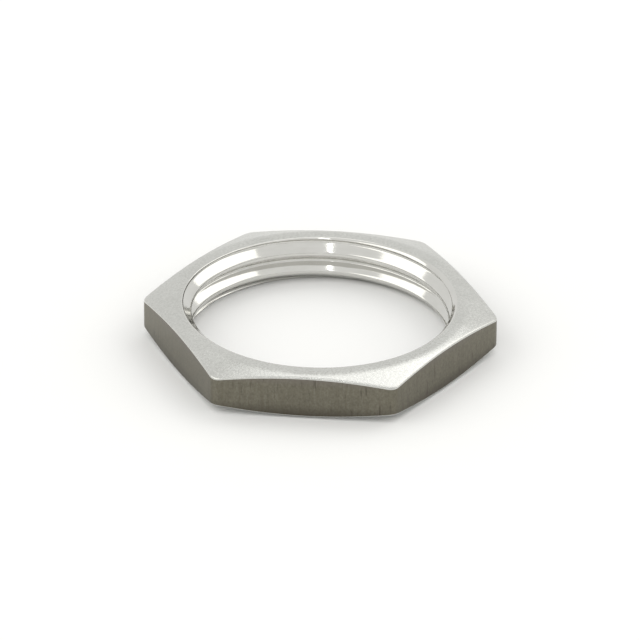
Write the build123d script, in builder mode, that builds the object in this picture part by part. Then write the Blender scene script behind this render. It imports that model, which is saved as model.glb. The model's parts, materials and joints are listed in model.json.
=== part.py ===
import math
import os

from build123d import *

os.makedirs("parts", exist_ok=True)

# Hexagonal locknut of a Pg 11 cable gland, in millimetres.
# Origin: middle of the lower bearing face. +Z runs up the thread axis.
# One wrench flat faces -Y, so two of the six corners lie on the X axis.

# ---- hexagon
across_flats = 21.0
height = 3.2
corner_radius = 0.8  # the six upright corners

# ---- turned end faces, both alike
face_inset = 0.6  # bearing ring stops this far inside the flats
cone_angle = 15.0  # degrees, fall of the turned cone outside the bearing ring
edge_break = 0.15  # radius where the cone meets the flats and the corners

# ---- Pg 11 thread, right hand
thread_major = 18.6
thread_pitch = 1.411  # 18 turns to the inch
flank_angle = 80.0  # degrees, between the two flanks of the groove
root_land = 0.16  # flat at the bottom of the groove
crest_land = 0.25  # flat left between two turns of the groove
groove_height_at_x = 1.108  # middle of the groove above the lower face, on the +X axis
lead_in_inset = 0.15  # countersink mouth inside the thread's outside radius
lead_in_angle = 45.0  # degrees from the axis

# ---- derived
apothem = across_flats / 2
sharp_corner = apothem / math.cos(math.pi / 6)
face_radius = apothem - face_inset
cone_fall = (sharp_corner - face_radius) * math.tan(math.radians(cone_angle))

flank_slope = math.tan(math.radians(flank_angle / 2))
groove_depth = (thread_pitch - root_land - crest_land) / 2 / flank_slope
root_radius = thread_major / 2
crest_radius = root_radius - groove_depth
lead_in_radius = root_radius - lead_in_inset
lead_in_depth = (lead_in_radius - crest_radius) / math.tan(math.radians(lead_in_angle))

cutter_overlap = crest_land / 2 / flank_slope  # the flanks of two turns meet this far inside the crest
cutter_tip = crest_radius - cutter_overlap * 0.9
cutter_half_width = root_land / 2 + (root_radius - cutter_tip) * flank_slope
lowest_turn = -math.ceil(groove_height_at_x / thread_pitch) - 1
highest_turn = math.ceil((height - groove_height_at_x) / thread_pitch) + 1

# ---- one turn of the thread groove, cut again for every turn through the bore
with BuildPart() as groove_turn:
    with BuildLine() as groove_path:
        Helix(thread_pitch, thread_pitch, crest_radius, center=(0, 0, groove_height_at_x))
    with BuildSketch(Plane.XZ):
        with BuildLine():
            Polyline(
                (cutter_tip, groove_height_at_x - cutter_half_width),
                (root_radius, groove_height_at_x - root_land / 2),
                (root_radius, groove_height_at_x + root_land / 2),
                (cutter_tip, groove_height_at_x + cutter_half_width),
                close=True,
            )
        make_face()
    sweep(path=groove_path.wires()[0], is_frenet=True)

# ---- the nut: one turned, bored and threaded piece of hexagon bar
with BuildPart() as locknut:
    with BuildSketch():
        RegularPolygon(radius=apothem, side_count=6, major_radius=False)
    extrude(amount=height)
    fillet(locknut.edges().filter_by(Axis.Z), radius=corner_radius)

    # both ends turned to a shallow cone around a flat bearing ring
    with BuildSketch(Plane.XZ):
        with BuildLine():
            Polyline(
                (0, 0),
                (face_radius, 0),
                (sharp_corner, cone_fall),
                (sharp_corner, height - cone_fall),
                (face_radius, height),
                (0, height),
                close=True,
            )
        make_face()
    revolve(axis=Axis.Z, mode=Mode.INTERSECT)

    # softened rim between each cone and the hexagon's sides
    cone_edges = locknut.faces().filter_by(GeomType.CONE).edges()
    rims = cone_edges.filter_by(GeomType.LINE, reverse=True).filter_by(GeomType.CIRCLE, reverse=True)
    fillet(rims, radius=edge_break)

    # bore at the thread's crest, countersunk at both mouths
    with BuildSketch(Plane.XZ):
        with BuildLine():
            Polyline(
                (0, 0),
                (lead_in_radius, 0),
                (crest_radius, lead_in_depth),
                (crest_radius, height - lead_in_depth),
                (lead_in_radius, height),
                (0, height),
                close=True,
            )
        make_face()
    revolve(axis=Axis.Z, mode=Mode.SUBTRACT)

    # thread groove, running out through both faces
    turn_heights = [turn * thread_pitch for turn in range(lowest_turn, highest_turn)]
    with Locations(*[(0, 0, turn_height) for turn_height in turn_heights]):
        add(groove_turn.part, mode=Mode.SUBTRACT)

locknut.part.label = "locknut"
export_step(locknut.part, "parts/locknut.step")
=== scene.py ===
"""Looks of the hexagonal cable gland locknut: its threaded mesh, its steel and the studio."""
import json
import math

import bpy
import numpy as np
from mathutils import Euler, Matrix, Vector


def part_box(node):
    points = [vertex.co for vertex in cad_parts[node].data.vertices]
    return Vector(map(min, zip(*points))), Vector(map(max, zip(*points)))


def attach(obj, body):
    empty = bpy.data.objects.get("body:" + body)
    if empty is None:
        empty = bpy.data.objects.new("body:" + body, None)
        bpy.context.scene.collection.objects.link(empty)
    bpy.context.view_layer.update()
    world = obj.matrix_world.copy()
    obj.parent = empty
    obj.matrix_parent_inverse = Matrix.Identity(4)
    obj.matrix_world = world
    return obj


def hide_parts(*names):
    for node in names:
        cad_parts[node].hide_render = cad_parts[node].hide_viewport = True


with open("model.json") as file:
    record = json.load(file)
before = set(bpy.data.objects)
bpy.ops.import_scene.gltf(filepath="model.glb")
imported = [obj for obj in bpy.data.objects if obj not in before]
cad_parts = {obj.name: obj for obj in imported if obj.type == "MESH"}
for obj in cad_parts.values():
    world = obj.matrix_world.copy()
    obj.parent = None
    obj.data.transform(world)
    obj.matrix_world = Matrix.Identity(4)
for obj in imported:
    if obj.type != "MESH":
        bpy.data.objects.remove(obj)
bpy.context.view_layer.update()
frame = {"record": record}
MM = 0.001

# ---- sizes from the frame, in metres
low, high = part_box("locknut")
APOTHEM = (high.y - low.y) / 2
HEIGHT = high.z - low.z
MOUNTS = {mount["name"]: mount for mount in frame["record"]["mounts"]}
CREST_RADIUS = MOUNTS["thread"]["dims"]["r_mm"] * MM
TURN = 2 * math.pi

# ---- sizes of the turned and threaded surfaces, within 0.15 mm of the CAD model
CORNER_RADIUS = 0.8 * MM
FACE_INSET = 0.45 * MM
CONE_ANGLE = math.radians(16.3)
EDGE_BREAK = 0.15 * MM
ROOT_RADIUS = 9.3 * MM
PITCH = 1.411 * MM
FLANK_ANGLE = math.radians(40)  # half the groove's angle
ROOT_LAND = 0.16 * MM
GROOVE_AT_X = 1.06 * MM
LEAD_IN_RADIUS = 9.2 * MM

# ---- softening too fine for the CAD model
RING_BLEND = 2.0 * MM  # radius between bearing ring and cone
MOUTH_BREAK = 0.08 * MM  # deburred mouth of the bore
MOUTH_BREAK_REACH = 0.75  # shares of that break, at the points that round it
MOUTH_BREAK_DROP = 0.12
MOUTH_BREAK_END = 0.7
ROOT_BLEND = 0.05 * MM
CREST_BLEND = 0.08 * MM

# ---- mesh density
CORNER_STEPS = 8
FLAT_STEPS = 98
BORE_STEPS = 106
WALL_STEPS = 5
RIM_STEPS = 5
CONE_STEPS = 6
BLEND_STEPS = 3
RING_STEPS = 4

# ---- camera, at the photograph's viewing angle
AZIMUTH = math.radians(5.77)
ELEVATION = math.radians(28.66)
ROLL = math.radians(0.41)
DISTANCE = 0.436
LENS = 362.3
AIM_ABOVE_MIDDLE = 0.15 * MM

# ---- studio
ROOM_LIGHT = 0.92
FLOOR_GAP = 0.02 * MM  # keeps the nut's flat underside clear of the floor
FLOOR_RINGS = (0.05, 0.15, 0.4, 0.9, 1.6)
FLOOR_STEPS = 48
LIGHT_DISTANCE = 0.9
WHITE, WARM = (1, 1, 1), (1, 0.985, 0.93)

# ---- zones of the mesh, in the order of its material slots
FACE, SIDE, BORE = 0, 1, 2


def add_camera():
    back = Vector((
        math.sin(AZIMUTH) * math.cos(ELEVATION),
        -math.cos(AZIMUTH) * math.cos(ELEVATION),
        math.sin(ELEVATION),
    ))
    data = bpy.data.cameras.new("camera")
    data.lens = LENS
    data.clip_start, data.clip_end = 0.02, 20
    camera = bpy.data.objects.new("camera", data)
    camera.location = Vector((0, 0, HEIGHT / 2 + AIM_ABOVE_MIDDLE)) + back * DISTANCE
    aimed = back.to_track_quat("Z", "Y")
    camera.rotation_euler = (aimed @ Euler((0, 0, ROLL)).to_quaternion()).to_euler()
    bpy.context.scene.collection.objects.link(camera)
    bpy.context.scene.camera = camera


# ---------------------------------------------------------------- mesh


def column_angles():
    """Angles of the section planes: close together round the six corners, wider across the flats."""
    tangent = math.atan((APOTHEM - CORNER_RADIUS) * math.tan(math.pi / 6) / APOTHEM)
    angles = []
    for flat in range(6):
        middle = -math.pi / 2 + flat * math.pi / 3
        angles.extend(np.linspace(middle - tangent, middle + tangent, FLAT_STEPS, endpoint=False))
        next_flat = middle + math.pi / 3 - tangent
        angles.extend(np.linspace(middle + tangent, next_flat, CORNER_STEPS, endpoint=False))
    return np.array(angles)


def hexagon_radius(angle):
    """Distance from the axis to the rounded hexagon."""
    from_flat = (angle + math.pi / 2 + math.pi / 6) % (math.pi / 3) - math.pi / 6
    across = np.abs(from_flat)
    on_flat = APOTHEM / np.cos(across)
    centre_x = APOTHEM - CORNER_RADIUS
    centre_y = centre_x * math.tan(math.pi / 6)
    along = centre_x * np.cos(across) + centre_y * np.sin(across)
    inside = np.maximum(along**2 - centre_x**2 - centre_y**2 + CORNER_RADIUS**2, 0)
    on_corner = along + np.sqrt(inside)
    tangent = math.atan2(centre_y, APOTHEM)
    return np.where(across <= tangent, on_flat, on_corner)


def soft_max(a, b, width):
    """The larger of two, rounded where they cross."""
    share = np.clip(0.5 + 0.5 * (a - b) / width, 0, 1)
    return b + (a - b) * share + width * share * (1 - share)


def soft_min(a, b, width):
    return -soft_max(-a, -b, width)


def bore_radius(angle, z):
    """Bore wall with its right-hand thread and the countersink at each mouth."""
    middle = GROOVE_AT_X + PITCH * angle / TURN
    groove_height = middle + PITCH * np.round((z - middle) / PITCH)
    from_middle = np.abs(z - groove_height)
    flank = ROOT_RADIUS - (from_middle - ROOT_LAND / 2) / math.tan(FLANK_ANGLE)
    groove = soft_min(flank, ROOT_RADIUS, ROOT_BLEND)
    thread = soft_max(groove, np.full_like(flank, CREST_RADIUS), CREST_BLEND)
    mouth = LEAD_IN_RADIUS - np.minimum(z, HEIGHT - z)
    return soft_max(thread, mouth, ROOT_BLEND)


def arc(centre_r, centre_z, radius, start, end, steps):
    angles = np.linspace(start, end, steps + 1)
    return [(centre_r + radius * math.cos(a), centre_z + radius * math.sin(a)) for a in angles]


def between(start, end, steps):
    """Shares of the way from start to end, without the two ends."""
    return [start + (end - start) * share for share in np.linspace(0, 1, steps + 1)[1:-1]]


def upper_outside(reach):
    """Section of the upper half outside the bearing ring, from the side wall in to the ring."""
    face_radius = APOTHEM - FACE_INSET
    fall = math.tan(CONE_ANGLE)
    rim_r = reach - EDGE_BREAK
    rim_z = HEIGHT - (rim_r - face_radius) * fall - EDGE_BREAK / math.cos(CONE_ANGLE)
    slope_top = math.pi / 2 - CONE_ANGLE
    points = arc(rim_r, rim_z, EDGE_BREAK, 0, slope_top, RIM_STEPS)
    start_r, start_z = points[-1]
    half = RING_BLEND * math.tan(CONE_ANGLE / 2)
    end_r = face_radius + half * math.cos(CONE_ANGLE)
    end_z = HEIGHT - half * math.sin(CONE_ANGLE)
    points += zip(between(start_r, end_r, CONE_STEPS), between(start_z, end_z, CONE_STEPS))
    centre_r, centre_z = face_radius - half, HEIGHT - RING_BLEND
    points += arc(centre_r, centre_z, RING_BLEND, slope_top, math.pi / 2, BLEND_STEPS)
    return points


def mouth(angle, z):
    """Radius where the flat ring meets the softened mouth, and that of the first point past it."""
    edge = float(bore_radius(angle, np.array(z))) + MOUTH_BREAK
    return edge, edge - MOUTH_BREAK_REACH * MOUTH_BREAK


def section(angle):
    """Closed section at one angle as (radius, height, zone)."""
    reach = float(hexagon_radius(np.array(angle)))
    outside = upper_outside(reach)
    wall_low, wall_high = HEIGHT - outside[0][1], outside[0][1]
    rows = [(reach, wall_low, SIDE)]
    rows += [(reach, z, SIDE) for z in between(wall_low, wall_high, WALL_STEPS)]
    rows += [(r, z, FACE) for r, z in outside]
    ring_outer = outside[-1][0]
    shares = [step / RING_STEPS for step in range(RING_STEPS)]

    edge, inner = mouth(angle, HEIGHT)
    rows += [(ring_outer + (edge - ring_outer) * share, HEIGHT, FACE) for share in shares[1:]]
    rows.append((edge, HEIGHT, FACE))
    rows.append((inner, HEIGHT - MOUTH_BREAK_DROP * MOUTH_BREAK, BORE))
    bore_top = HEIGHT - MOUTH_BREAK_END * MOUTH_BREAK
    heights = np.linspace(bore_top, MOUTH_BREAK_END * MOUTH_BREAK, BORE_STEPS)
    rows += [(float(r), float(z), BORE) for r, z in zip(bore_radius(angle, heights), heights)]
    edge, inner = mouth(angle, 0.0)
    rows.append((inner, MOUTH_BREAK_DROP * MOUTH_BREAK, BORE))
    rows += [(edge + (ring_outer - edge) * share, 0.0, FACE) for share in shares]

    rows += [(r, HEIGHT - z, FACE) for r, z in reversed(outside[1:])]
    return rows


def add_nut(materials):
    angles = column_angles()
    sections = [section(angle) for angle in angles]
    columns, rows = len(sections), len(sections[0])
    points = np.array([[(r, z) for r, z, _ in rows_at] for rows_at in sections])
    x = points[:, :, 0] * np.cos(angles)[:, None]
    y = points[:, :, 0] * np.sin(angles)[:, None]
    vertices = np.stack([x, y, points[:, :, 1] + low.z], axis=2).reshape(-1, 3)
    zones = [zone for _, _, zone in sections[0]]
    faces, slots = [], []
    for i in range(columns):
        right = (i + 1) % columns
        for j in range(rows):
            up = (j + 1) % rows
            faces.append((i * rows + j, right * rows + j, right * rows + up, i * rows + up))
            slots.append(zones[up] if zones[up] == BORE or zones[j] != SIDE else SIDE)
    mesh = bpy.data.meshes.new("locknut_steel")
    mesh.from_pydata(vertices.tolist(), [], faces)
    for material in materials:
        mesh.materials.append(material)
    mesh.polygons.foreach_set("material_index", slots)
    mesh.polygons.foreach_set("use_smooth", [True] * len(faces))
    mesh.update()
    nut = bpy.data.objects.new("locknut_steel", mesh)
    bpy.context.scene.collection.objects.link(nut)
    return nut


# ---------------------------------------------------------------- materials


class Nodes:
    """Small helper that adds and links shader nodes."""

    def __init__(self, name):
        self.material = bpy.data.materials.new(name)
        self.material.use_nodes = True
        self.tree = self.material.node_tree
        self.shader = self.tree.nodes["Principled BSDF"]
        self.place = self.add("ShaderNodeTexCoord").outputs["Object"]

    def add(self, kind, **values):
        node = self.tree.nodes.new(kind)
        for name, value in values.items():
            setattr(node, name, value)
        return node

    def link(self, source, target):
        self.tree.links.new(source, target)

    def stretched(self, scale):
        """Object coordinates times a scale for each axis, in noise cells per metre."""
        node = self.add("ShaderNodeVectorMath", operation="MULTIPLY")
        self.link(self.place, node.inputs[0])
        node.inputs[1].default_value = scale
        return node.outputs["Vector"]

    def along(self, axis):
        """Component of the coordinates along an axis."""
        node = self.add("ShaderNodeVectorMath", operation="DOT_PRODUCT")
        self.link(self.place, node.inputs[0])
        node.inputs[1].default_value = axis
        return node.outputs["Value"]

    def turned(self, per_metre, drift):
        """Coordinates that change quickly with the distance from the axis and slowly round it."""
        flat = self.stretched((1, 1, 0))
        length = self.add("ShaderNodeVectorMath", operation="LENGTH")
        self.link(flat, length.inputs[0])
        radius = self.math("MULTIPLY", length.outputs["Value"], per_metre)
        slow = self.stretched((drift, drift, drift))
        parts = self.add("ShaderNodeSeparateXYZ")
        self.link(slow, parts.inputs[0])
        joined = self.add("ShaderNodeCombineXYZ")
        self.link(radius, joined.inputs[0])
        self.link(parts.outputs[0], joined.inputs[1])
        self.link(parts.outputs[1], joined.inputs[2])
        return joined.outputs[0]

    def noise(self, vector, detail=3.0, roughness=0.55):
        node = self.add("ShaderNodeTexNoise")
        node.inputs["Scale"].default_value = 1
        node.inputs["Detail"].default_value = detail
        node.inputs["Roughness"].default_value = roughness
        self.link(vector, node.inputs["Vector"])
        return node.outputs["Fac"]

    def math(self, operation, a, b):
        node = self.add("ShaderNodeMath", operation=operation)
        for socket, value in zip(node.inputs, (a, b)):
            if isinstance(value, (int, float)):
                socket.default_value = value
            else:
                self.link(value, socket)
        return node.outputs[0]

    def ranged(self, value, low_in, high_in, low_out, high_out):
        """Value carried from one range to another, and held at the ends."""
        node = self.add("ShaderNodeMapRange")
        for socket, number in zip(node.inputs[1:5], (low_in, high_in, low_out, high_out)):
            socket.default_value = number
        self.link(value, node.inputs[0])
        return node.outputs[0]

    def blend(self, share, first, second):
        node = self.add("ShaderNodeMix", data_type="RGBA")
        self.link(share, node.inputs["Factor"])
        for socket, colour in ((node.inputs["A"], first), (node.inputs["B"], second)):
            if isinstance(colour, tuple):
                socket.default_value = (*colour, 1)
            else:
                self.link(colour, socket)
        return node.outputs["Result"]

    def bump(self, height, distance, under=None):
        node = self.add("ShaderNodeBump")
        node.inputs["Strength"].default_value = 1
        node.inputs["Distance"].default_value = distance
        self.link(height, node.inputs["Height"])
        if under:
            self.link(under, node.inputs["Normal"])
        return node.outputs["Normal"]

    def metal(self, colour, roughness, normal):
        self.shader.inputs["Metallic"].default_value = 1
        self.link(colour, self.shader.inputs["Base Color"])
        self.link(roughness, self.shader.inputs["Roughness"])
        self.link(normal, self.shader.inputs["Normal"])
        return self.material


def face_steel():
    """Turned faces, tumbled to an even satin with faint rings and hairlines left."""
    pale, paler, pitted = (0.57, 0.572, 0.545), (0.68, 0.682, 0.655), (0.40, 0.395, 0.375)
    n = Nodes("satin_turned_steel")
    grain = n.noise(n.stretched((6500, 6500, 6500)), 4, 0.7)
    rings = n.noise(n.turned(26000, 90), 3)
    hairs = n.noise(n.stretched((900, 14000, 900)), 2)
    cloud = n.noise(n.stretched((420, 420, 420)), 3)
    tone = n.blend(cloud, pale, paler)
    colour = n.blend(n.ranged(grain, 0.35, 0.6, 0.38, 0), tone, pitted)
    cloud_roughness = n.ranged(cloud, 0.3, 0.7, 0.18, 0.24)
    grain_roughness = n.ranged(grain, 0.3, 0.7, -0.03, 0.05)
    roughness = n.math("ADD", cloud_roughness, grain_roughness)
    normal = n.bump(grain, 0.009 * MM)
    normal = n.bump(rings, 0.0016 * MM, under=normal)
    normal = n.bump(hairs, 0.001 * MM, under=normal)
    return n.metal(colour, roughness, normal)


def side_steel():
    """Hexagon sides as the bar was drawn: duller and darker, with upright draw lines; the darker
    base colour is painted shade for the dark ground the flats reflect.
    """
    # painted shade: these side colours are kept dark to stand in for the shaded ground the flats
    # reflect, not for a darker steel
    dark, lighter = (0.170, 0.158, 0.122), (0.215, 0.202, 0.160)
    pitted, painted_floor_shade_colour = (0.105, 0.098, 0.078), (0.085, 0.075, 0.060)
    high_edge, nicked = (0.180, 0.160, 0.150), (0.075, 0.065, 0.055)
    n = Nodes("drawn_bar_steel_painted_shade")
    lines = n.noise(n.stretched((3600, 3600, 330)), 4, 0.6)
    nicks = n.noise(n.stretched((6500, 6500, 620)), 3)
    patch = n.noise(n.stretched((260, 260, 260)), 2)
    grain = n.noise(n.stretched((6500, 6500, 5200)), 4, 0.7)
    height = n.along((0, 0, 1))
    # painted shade: the sides darken towards the floor, standing in for the floor's shadow that they
    # reflect
    painted_floor_shade_mask = n.ranged(height, low.z + 0.15 * MM, low.z + 1.0 * MM, 0.8, 0)
    near_top = n.ranged(height, high.z - 0.8 * MM, high.z - 0.3 * MM, 0, 0.5)
    in_patches = n.ranged(patch, 0.42, 0.58, 0.15, 1)
    marks = n.math("MULTIPLY", n.ranged(nicks, 0.60, 0.70, 0, 0.75), in_patches)
    tone = n.blend(n.ranged(lines, 0.3, 0.7, 0, 1), dark, lighter)
    tone = n.blend(n.ranged(grain, 0.35, 0.65, 0.6, 0), tone, pitted)
    tone = n.blend(painted_floor_shade_mask, tone, painted_floor_shade_colour)
    tone = n.blend(near_top, tone, high_edge)
    colour = n.blend(marks, tone, nicked)
    line_roughness = n.ranged(lines, 0.3, 0.7, 0.30, 0.38)
    grain_roughness = n.ranged(grain, 0.3, 0.7, -0.03, 0.04)
    roughness = n.math("ADD", line_roughness, grain_roughness)
    normal = n.bump(lines, 0.006 * MM)
    normal = n.bump(grain, 0.002 * MM, under=normal)
    return n.metal(colour, roughness, normal)


def bore_steel():
    """Cut thread and countersinks, nearly polished, with fine lines round the bore."""
    duller, brighter = (0.60, 0.595, 0.565), (0.70, 0.695, 0.67)
    n = Nodes("cut_thread_steel")
    lines = n.noise(n.stretched((160, 160, 24000)), 3)
    waves = n.noise(n.stretched((700, 700, 2500)), 2)
    colour = n.blend(waves, duller, brighter)
    roughness = n.ranged(lines, 0.25, 0.75, 0.05, 0.12)
    normal = n.bump(waves, 0.004 * MM)
    normal = n.bump(lines, 0.0006 * MM, under=normal)
    return n.metal(colour, roughness, normal)


# ---------------------------------------------------------------- studio


def add_floor():
    """A wide pale sweep under the nut."""
    level = low.z - FLOOR_GAP
    vertices, faces = [(0, 0, level)], []
    for radius in FLOOR_RINGS:
        for k in range(FLOOR_STEPS):
            angle = TURN * k / FLOOR_STEPS
            vertices.append((radius * math.cos(angle), radius * math.sin(angle), level))
    for k in range(FLOOR_STEPS):
        following = (k + 1) % FLOOR_STEPS
        faces.append((0, 1 + k, 1 + following))
        for ring in range(len(FLOOR_RINGS) - 1):
            inner = 1 + ring * FLOOR_STEPS
            outer = inner + FLOOR_STEPS
            faces.append((inner + k, outer + k, outer + following, inner + following))
    mesh = bpy.data.meshes.new("floor")
    mesh.from_pydata(vertices, [], faces)
    floor = bpy.data.objects.new("floor", mesh)
    bpy.context.scene.collection.objects.link(floor)
    n = Nodes("pale_floor")
    mottle = n.noise(n.stretched((40, 40, 40)), 3)
    colour = n.blend(mottle, (0.86, 0.86, 0.86), (0.89, 0.89, 0.885))
    n.link(colour, n.shader.inputs["Base Color"])
    n.shader.inputs["Roughness"].default_value = 0.9
    n.shader.inputs["Specular IOR Level"].default_value = 0.1
    mesh.materials.append(n.material)


def add_light(name, azimuth, elevation, width, height, power, colour=WHITE):
    """Area light facing the nut. Azimuth is from the camera's far side, positive to the right."""
    heading = math.pi / 2 + AZIMUTH - math.radians(azimuth)
    rise = math.radians(elevation)
    level = math.cos(rise)
    away = Vector((math.cos(heading) * level, math.sin(heading) * level, math.sin(rise)))
    data = bpy.data.lights.new(name, "AREA")
    data.shape, data.size, data.size_y = "RECTANGLE", width, height
    data.energy, data.color = power, colour
    light = bpy.data.objects.new(name, data)
    light.location = away * LIGHT_DISTANCE
    light.rotation_euler = away.to_track_quat("Z", "Y").to_euler()
    bpy.context.scene.collection.objects.link(light)


def add_room():
    """Even pale light from every side."""
    world = bpy.data.worlds.new("studio")
    world.use_nodes = True
    background = world.node_tree.nodes["Background"]
    background.inputs["Color"].default_value = (1, 1, 0.985, 1)
    background.inputs["Strength"].default_value = ROOM_LIGHT
    bpy.context.scene.world = world


def add_studio():
    add_room()
    add_light("back_softbox", azimuth=8, elevation=62, width=0.44, height=0.20, power=0.24)
    add_light("low_softbox", azimuth=25, elevation=46, width=0.30, height=0.28, power=0.20)
    add_light(
        "left_softbox", azimuth=-107, elevation=42, width=1.0, height=0.6, power=1.6, colour=WARM
    )
    add_light(
        "right_softbox", azimuth=65, elevation=42, width=0.8, height=0.6, power=1.3, colour=WARM
    )
    add_light("strip", azimuth=-171, elevation=71, width=0.024, height=0.75, power=0.27)
    add_floor()


bpy.context.scene.view_settings.view_transform = "Standard"
add_camera()
nut = add_nut([face_steel(), side_steel(), bore_steel()])
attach(nut, "root")
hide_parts("locknut")
add_studio()
